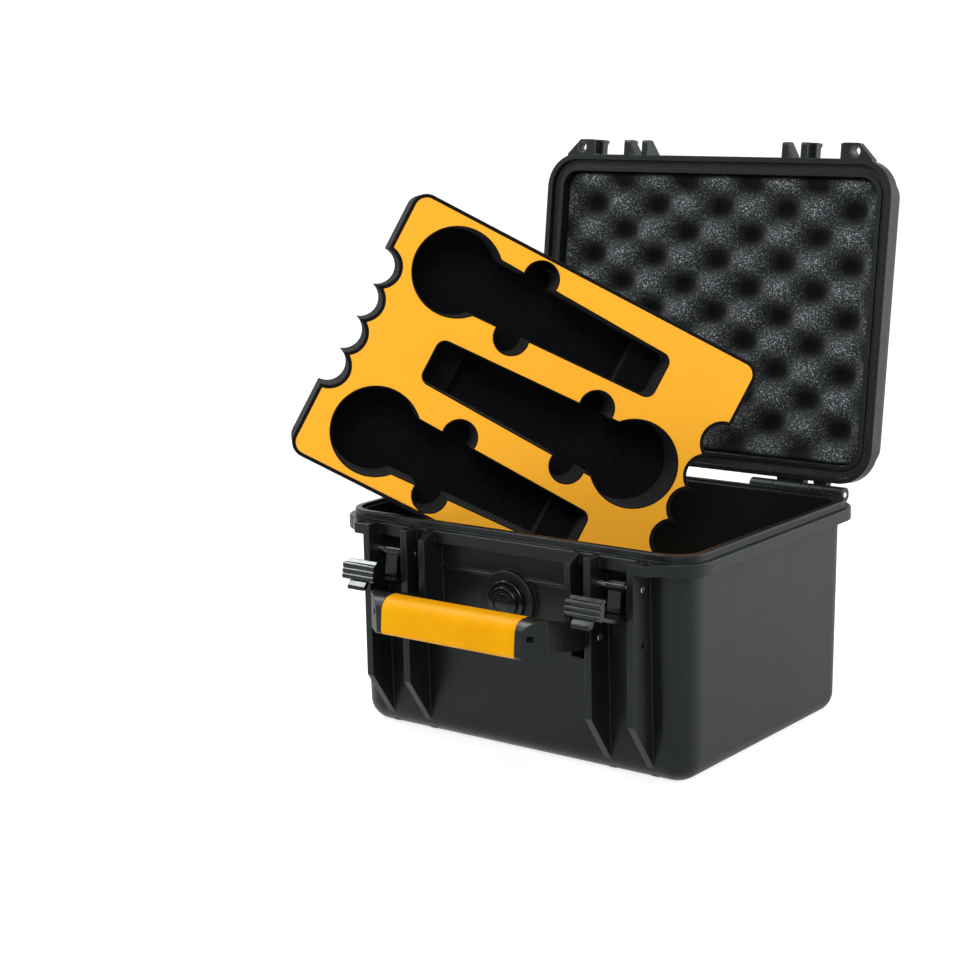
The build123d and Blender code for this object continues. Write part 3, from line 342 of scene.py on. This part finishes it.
def glossy(name, tone, rough):
    """Shiny injection-moulded plastic with faint flow marks and a painted highlight along its
    edges.
    """
    g = Graph(name, edge_radius=0.6)
    flow = g.noise(14.0, detail=3.0, rough=0.5, stretch=(0.3, 1, 1))
    specks = g.noise(1.1, detail=2.0, rough=0.5)
    colour = g.blend(g.spread(flow, 0.3, 0.7), scaled(tone, 0.8), tone)
    # Painted highlight: the edges are lightened.
    colour = g.blend(g.times(g.edges(), 0.5), colour, scaled(tone, 8))
    smears = g.noise(5.0, detail=5.0, rough=0.65)
    normal = g.bump(flow, strength=0.04, depth=0.20, normal=g.rounded())
    normal = g.bump(specks, strength=0.05, depth=0.05, normal=normal)
    return g.surface(
        Base_Color=colour, Normal=normal,
        Roughness=g.spread(smears, 0.35, 0.75, rough - 0.04, rough + 0.08),
        Specular_IOR_Level=0.22, Specular_Tint=COOL, Coat_Weight=0.20, Coat_Roughness=0.07,
    )


def hollow_shade(g):
    """How deep a place of the lid's foam lies in its hollows, from 0 to 1."""
    shut = g.node(
        "Mapping",
        {"Vector": g.coords(), "Location": LID_HINGE, "Rotation": (-LID_OPEN, 0, 0)},
        vector_type="TEXTURE",
    ).outputs["Vector"]
    part = g.node("SeparateXYZ", {"Vector": shut})
    from_middle = g.math("ADD", part.outputs["Y"], LID_HINGE[1])
    across = g.math("COSINE", g.times(part.outputs["X"], math.tau / WAVE_X))
    along = g.math("COSINE", g.times(from_middle, math.tau / WAVE_Y))
    return g.spread(g.times(across, along), -0.85, 0.75)


def open_cell_foam(name, tone, cell, specks, hollows=False):
    """Soft open-cell foam: little pores, lighter strands, and bright flecks that are painted
    glints.
    """
    g = Graph(name)
    pores = g.scatter(cell).outputs["Distance"]
    lumps = g.noise(cell * 3, detail=2.0, rough=0.5)
    fuzz = g.noise(cell * 0.6, detail=4.0, rough=0.7)
    patches = g.noise(26.0, detail=3.0, rough=0.6)
    depth = g.math("ADD", g.times(pores, 0.7), g.times(fuzz, 0.5))
    colour = g.blend(g.spread(depth, 0.35, 0.85), scaled(tone, 0.30), scaled(tone, 2.0))
    colour = g.blend(g.spread(patches, 0.3, 0.7, 0.0, 0.35), colour, tone)
    # The bright flecks are painted glints.
    fine = g.dots(0.95 * cell, width=0.46, share=0.8)
    coarse = g.dots(1.7 * cell, width=0.32, share=0.6)
    shine = g.times(g.math("MAXIMUM", fine, coarse), specks)
    # Painted shade darkens the hollows, and the painted glints keep to the raised peaks.
    if hollows:
        shade = hollow_shade(g)
        raised = g.math("SUBTRACT", 1.0, shade)
        shine = g.times(shine, g.math("POWER", raised, 1.4))
        colour = g.blend(g.times(shade, 0.97), colour, scaled(tone, 0.06))
    colour = g.blend(shine, colour, (0.60, 0.62, 0.64))
    normal = g.bump(depth, strength=0.8, depth=cell * 0.55)
    normal = g.bump(lumps, strength=0.35, depth=cell * 0.5, normal=normal)
    return g.surface(
        Base_Color=colour, Roughness=g.spread(fuzz, 0.3, 0.7, 0.82, 0.98), Normal=normal,
        Specular_IOR_Level=0.08, Sheen_Weight=0.04, Sheen_Roughness=0.5,
    )


def face_sheet(name, tone):
    """Coloured closed-cell sheet with a fine leathery skin, duller where it is handled."""
    g = Graph(name)
    skin = g.noise(0.6, detail=3.0, rough=0.6)
    cloud = g.noise(45.0, detail=4.0, rough=0.55)
    handling = g.spread(g.noise(12.0, detail=5.0, rough=0.7), 0.55, 0.85)
    warm = scaled(tone, (0.98, 0.96, 0.92))
    dull = scaled(tone, (0.84, 0.76, 0.65))
    colour = g.blend(g.spread(cloud, 0.3, 0.7, 0.0, 0.6), tone, warm)
    colour = g.blend(g.times(handling, 0.07), colour, dull)
    normal = g.bump(skin, strength=0.35, depth=0.08)
    normal = g.bump(cloud, strength=0.1, depth=0.5, normal=normal)
    return g.surface(
        Base_Color=colour, Roughness=g.spread(skin, 0.3, 0.7, 0.55, 0.70), Normal=normal,
        Specular_IOR_Level=0.1, Specular_Tint=(1.0, 0.62, 0.20),
    )


def rubber_grip(name, tone):
    """Soft-touch rubber sleeve: satin skin, faint pebble, darker where hands rub it, with
    painted shade along its edges and creases.
    """
    g = Graph(name, edge_radius=0.8)
    pebble = g.noise(0.8, detail=4.0, rough=0.6)
    cloud = g.noise(22.0, detail=4.0, rough=0.6)
    grime = g.spread(g.noise(7.0, detail=6.0, rough=0.7, stretch=(0.35, 1, 1)), 0.58, 0.85)
    deep = scaled(tone, (0.92, 0.84, 1.0))
    grime_and_crease_shade = scaled(tone, (0.62, 0.52, 0.6))
    colour = g.blend(g.spread(cloud, 0.3, 0.7), tone, deep)
    colour = g.blend(g.times(grime, 0.14), colour, grime_and_crease_shade)
    # Painted shade: the edges and creases darken.
    colour = g.blend(g.times(g.edges(), 0.25), colour, grime_and_crease_shade)
    normal = g.bump(pebble, strength=0.30, depth=0.10, normal=g.rounded())
    normal = g.bump(cloud, strength=0.2, depth=0.8, normal=normal)
    return g.surface(
        Base_Color=colour, Roughness=g.spread(cloud, 0.25, 0.75, 0.36, 0.50), Normal=normal,
        Specular_IOR_Level=0.2, Specular_Tint=(1.0, 0.70, 0.04),
    )


def metal(name, tone, rough, streak):
    """Metal with fine streaks along one axis, the one scaled down, and patches of tarnish."""
    g = Graph(name, edge_radius=0.25)
    streaks = g.noise(0.25, detail=2.0, rough=0.5, stretch=streak)
    tarnish = g.spread(g.noise(3.0, detail=4.0, rough=0.65), 0.45, 0.75)
    colour = g.blend(g.times(tarnish, 0.6), tone, scaled(tone, 0.45))
    matte = g.spread(streaks, 0.3, 0.7, rough - 0.06, rough + 0.08)
    matte = g.math("ADD", matte, g.times(tarnish, 0.18))
    normal = g.bump(streaks, strength=0.2, depth=0.04, normal=g.rounded())
    return g.surface(Base_Color=colour, Metallic=1.0, Roughness=matte, Normal=normal)


def soft_seal(name, tone):
    """Dull extruded rubber with bloom and drag lines."""
    g = Graph(name, edge_radius=0.4)
    bloom = g.noise(4.0, detail=5.0, rough=0.65)
    drag = g.noise(0.7, detail=2.0, rough=0.5, stretch=(0.08, 0.08, 1))
    pale = tuple(v * 2.2 + 0.01 for v in tone)
    colour = g.blend(g.spread(bloom, 0.45, 0.8), tone, pale)
    normal = g.bump(drag, strength=0.2, depth=0.1, normal=g.rounded())
    normal = g.bump(bloom, strength=0.1, depth=0.1, normal=normal)
    return g.surface(
        Base_Color=colour, Roughness=g.spread(bloom, 0.3, 0.7, 0.7, 0.88), Normal=normal,
        Specular_IOR_Level=0.3,
    )


def membrane(name):
    """White breathable membrane with a fibrous web."""
    g = Graph(name)
    web = g.noise(0.12, detail=6.0, rough=0.75, stretch=(1, 1, 0.5))
    colour = g.blend(g.spread(web, 0.35, 0.7), (0.55, 0.55, 0.53), (0.82, 0.82, 0.80))
    return g.surface(
        Base_Color=colour, Roughness=g.spread(web, 0.3, 0.7, 0.75, 0.95),
        Normal=g.bump(web, strength=0.5, depth=0.04),
    )


ALONG_X, ALONG_Z = (0.05, 1, 1), (1, 1, 0.05)
finishes = {
    "shell": moulded("shell", (0.0050, 0.0058, 0.0061), rough=0.32, grain=0.9,
                     grain_size=0.9),
    "seal": soft_seal("seal", (0.012, 0.012, 0.013)),
    "lid_foam": open_cell_foam("lid_foam", (0.031, 0.036, 0.038), cell=1.1, specks=0.78,
                               hollows=True),
    "steel": metal("steel", (0.62, 0.62, 0.60), rough=0.24, streak=ALONG_X),
    "brass": metal("brass", (0.060, 0.052, 0.046), rough=0.42, streak=ALONG_Z),
    "latch": glossy("latch", (0.0035, 0.0040, 0.0044), rough=0.13),
    "handle": moulded("handle", (0.0050, 0.0057, 0.0061), rough=0.34, grain=0.5,
                      grain_size=0.7),
    "grip": rubber_grip("grip", YELLOW),
    "valve": glossy("valve", (0.0045, 0.0051, 0.0054), rough=0.15),
    "membrane": membrane("membrane"),
    "tray_foam": open_cell_foam("tray_foam", (0.0024, 0.0021, 0.0029), cell=0.8,
                                specks=0.018),
    "sheet": face_sheet("sheet", ORANGE),
}

# Every CAD node by the finish that it wears.
WEARERS = {
    "shell": ("base_shell", "lid_shell"),
    "seal": ("lid_seal", "valve_washer"),
    "lid_foam": ("lid_foam",),
    "steel": ("hinge_pin_left", "hinge_pin_right", "latch_pin_left", "latch_pin_right",
              "handle_pin_left", "handle_pin_right"),
    "brass": ("eyelet_left", "eyelet_right"),
    "latch": ("latch_left", "latch_right"),
    "handle": ("handle_frame",),
    "grip": ("handle_grip",),
    "valve": ("valve_body", "valve_cap", "valve_ring"),
    "membrane": ("valve_membrane",),
    "tray_foam": ("tray_foam", "lower_tray_foam", "floor_pad"),
    "sheet": ("tray_face", "lower_tray_face"),
}


def dress_nodes():
    """Every CAD node gets its slot's finish; its mesh stays as it is."""
    for slot, names in WEARERS.items():
        for name in names:
            piece = nodes[name]
            if not piece.material_slots:
                piece.data.materials.append(None)
            for place in piece.material_slots:
                place.link = "OBJECT"
                place.material = finishes[slot]


# ---- Foam pieces --------------------------------------------------------------------------
def finish_piece(piece, slot, body, stands_for):
    piece.data.materials.clear()
    piece.data.materials.append(finishes[slot])
    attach(piece, body)
    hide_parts(stands_for)


def foam_object(bm, name):
    """An object of the mesh, smooth all over."""
    for face in bm.faces:
        face.smooth = True
    mesh = bpy.data.meshes.new(name)
    bm.to_mesh(mesh)
    bm.free()
    return add_object(name, mesh)


def die_cut(node, name, edge):
    """A foam piece of the node's own form, its cut edges softened by edge millimetres."""
    source = nodes[node]
    same_place = 2e-6
    flat_angle, sharp_angle = math.radians(0.8), math.radians(35)
    bm = bmesh.new()
    bm.from_mesh(source.data)
    bmesh.ops.transform(bm, matrix=source.matrix_world, verts=bm.verts)
    bmesh.ops.remove_doubles(bm, verts=bm.verts, dist=same_place)
    bmesh.ops.dissolve_limit(bm, angle_limit=flat_angle, verts=bm.verts, edges=bm.edges)
    sharp = [
        e for e in bm.edges if len(e.link_faces) == 2 and e.calc_face_angle(0) > sharp_angle
    ]
    bmesh.ops.bevel(
        bm, geom=sharp, offset=edge / MM_PER_M, offset_type="OFFSET", segments=3,
        profile=0.5, affect="EDGES", clamp_overlap=False, material=-1,
    )
    piece = foam_object(bm, name)
    weigh = piece.modifiers.new("Shading", "WEIGHTED_NORMAL")
    weigh.keep_sharp = True
    return piece


# The lid's foam, in metres, with the lid shut: its outline, its face, back and hollows.
FOAM_HALF_X, FOAM_HALF_Y, FOAM_CORNER = 0.1229, 0.0936, 0.0115
FOAM_PEAK, FOAM_BACK = 0.1460, 0.1737
FOAM_DIMPLE, DIMPLE_POWER = 0.0140, 1.5
FOAM_CALM, CALM_POWER = 0.012, 1.5  # The hollows fade out this near to the outline.
FOAM_EDGE = 0.0035
FOAM_DRAFT = math.radians(3.0)
FOAM_WAIST = 0.0008
FOAM_UNEVEN = ((0.00045, 7.0), (0.00022, 2.6))  # Height in metres, size in millimetres.
FOAM_LEAST_RISE = 0.0001
FOAM_COLUMNS, FOAM_ROWS, FOAM_LEVELS = 168, 128, 7
ROW_GATHER = 0.14


def foam_row_width(y):
    over = abs(y) - (FOAM_HALF_Y - FOAM_CORNER)
    if over <= 0:
        return FOAM_HALF_X
    return FOAM_HALF_X - FOAM_CORNER + math.sqrt(max(FOAM_CORNER ** 2 - over ** 2, 0.0))


def foam_row_place(t):
    """Where a row lies, t from -1 to 1; rows gather at both ends, where the corners turn."""
    return FOAM_HALF_Y * ((1 - ROW_GATHER) * t + ROW_GATHER * math.sin(t * math.pi / 2))


def foam_inset(x, y):
    """How far a point lies inside the foam's rounded outline."""
    dx, dy = abs(x) - (FOAM_HALF_X - FOAM_CORNER), abs(y) - (FOAM_HALF_Y - FOAM_CORNER)
    if dx > 0 and dy > 0:
        return FOAM_CORNER - math.hypot(dx, dy)
    return min(FOAM_HALF_X - abs(x), FOAM_HALF_Y - abs(y))


def foam_height(x, y):
    """The height of the foam's waved face, its edge rolled over."""
    wave = math.cos(math.tau * x / WAVE_X) * math.cos(math.tau * y / WAVE_Y)
    hollow = (0.5 + 0.5 * wave) ** DIMPLE_POWER
    inside = max(0.0, foam_inset(x, y))
    hollow *= min(1.0, inside / FOAM_CALM) ** CALM_POWER
    z = FOAM_PEAK + FOAM_DIMPLE * hollow
    spot = Vector((x, y, 0)) * MM_PER_M
    (coarse, coarse_size), (fine, fine_size) = FOAM_UNEVEN
    z += coarse * noise.noise(spot / coarse_size) + fine * noise.noise(spot / fine_size)
    if inside < FOAM_EDGE:
        roll = math.sqrt(FOAM_EDGE ** 2 - (FOAM_EDGE - inside) ** 2)
        z = max(z, FOAM_PEAK + FOAM_EDGE - roll)
    return max(z, FOAM_PEAK + FOAM_LEAST_RISE)


def foam_ring(bm, border, share):
    """A ring of the foam's side wall, share of the way from its face to its back."""
    ring = []
    for v in border:
        x, y, top = v.co
        z = top + (FOAM_BACK - top) * share
        waist = FOAM_WAIST * math.sin(math.pi * share)
        shrink = (z - FOAM_PEAK) * math.tan(FOAM_DRAFT) + waist
        length = math.hypot(x, y)
        ring.append(bm.verts.new((x - x / length * shrink, y - y / length * shrink, z)))
    return ring


def convoluted_foam():
    """Egg-crate foam in the lid, drawn with the lid shut and swung open with it."""
    bm = bmesh.new()
    grid = []
    for j in range(FOAM_ROWS + 1):
        y = foam_row_place(2 * j / FOAM_ROWS - 1)
        line = []
        for i in range(FOAM_COLUMNS + 1):
            x = (2 * i / FOAM_COLUMNS - 1) * foam_row_width(y)
            line.append(bm.verts.new((x, y, foam_height(x, y))))
        grid.append(line)
    for a, b in zip(grid, grid[1:]):
        for i in range(FOAM_COLUMNS):
            # The front faces down while the lid is shut.
            bm.faces.new((a[i], b[i], b[i + 1], a[i + 1]))
    border = (
        grid[0] + [line[-1] for line in grid[1:]] + grid[-1][-2::-1]
        + [line[0] for line in grid[-2:0:-1]]
    )
    last = border
    for level in range(1, FOAM_LEVELS + 1):
        ring = foam_ring(bm, border, level / FOAM_LEVELS)
        for i in range(len(ring)):
            k = (i + 1) % len(ring)
            bm.faces.new((last[i], last[k], ring[k], ring[i]))
        last = ring
    bm.faces.new(last)
    bmesh.ops.recalc_face_normals(bm, faces=bm.faces)
    hinge = Vector(LID_HINGE)
    swing = Matrix.Translation(hinge) @ Matrix.Rotation(-LID_OPEN, 4, "X")
    bmesh.ops.transform(bm, matrix=swing @ Matrix.Translation(-hinge), verts=bm.verts)
    return foam_object(bm, "lid_egg_crate")


# CAD node, the name of its piece, its softened edge in millimetres, its slot and its body.
DIE_CUT = (
    ("tray_foam", "upper_tray_cut_foam", 0.7, "tray_foam", "tray"),
    ("tray_face", "upper_tray_sheet", 0.25, "sheet", "tray"),
    ("lower_tray_foam", "lower_tray_cut_foam", 0.7, "tray_foam", "base"),
    ("lower_tray_face", "lower_tray_sheet", 0.25, "sheet", "base"),
    ("floor_pad", "floor_foam_pad", 1.2, "tray_foam", "base"),
)

place_camera()
make_world()
make_floor()
for lamp in LAMPS:
    softbox(*lamp)
dress_nodes()

finish_piece(convoluted_foam(), "lid_foam", "lid", "lid_foam")
for node, name, edge, slot, body in DIE_CUT:
    finish_piece(die_cut(node, name, edge), slot, body, node)

bpy.context.scene.view_settings.view_transform = "Standard"
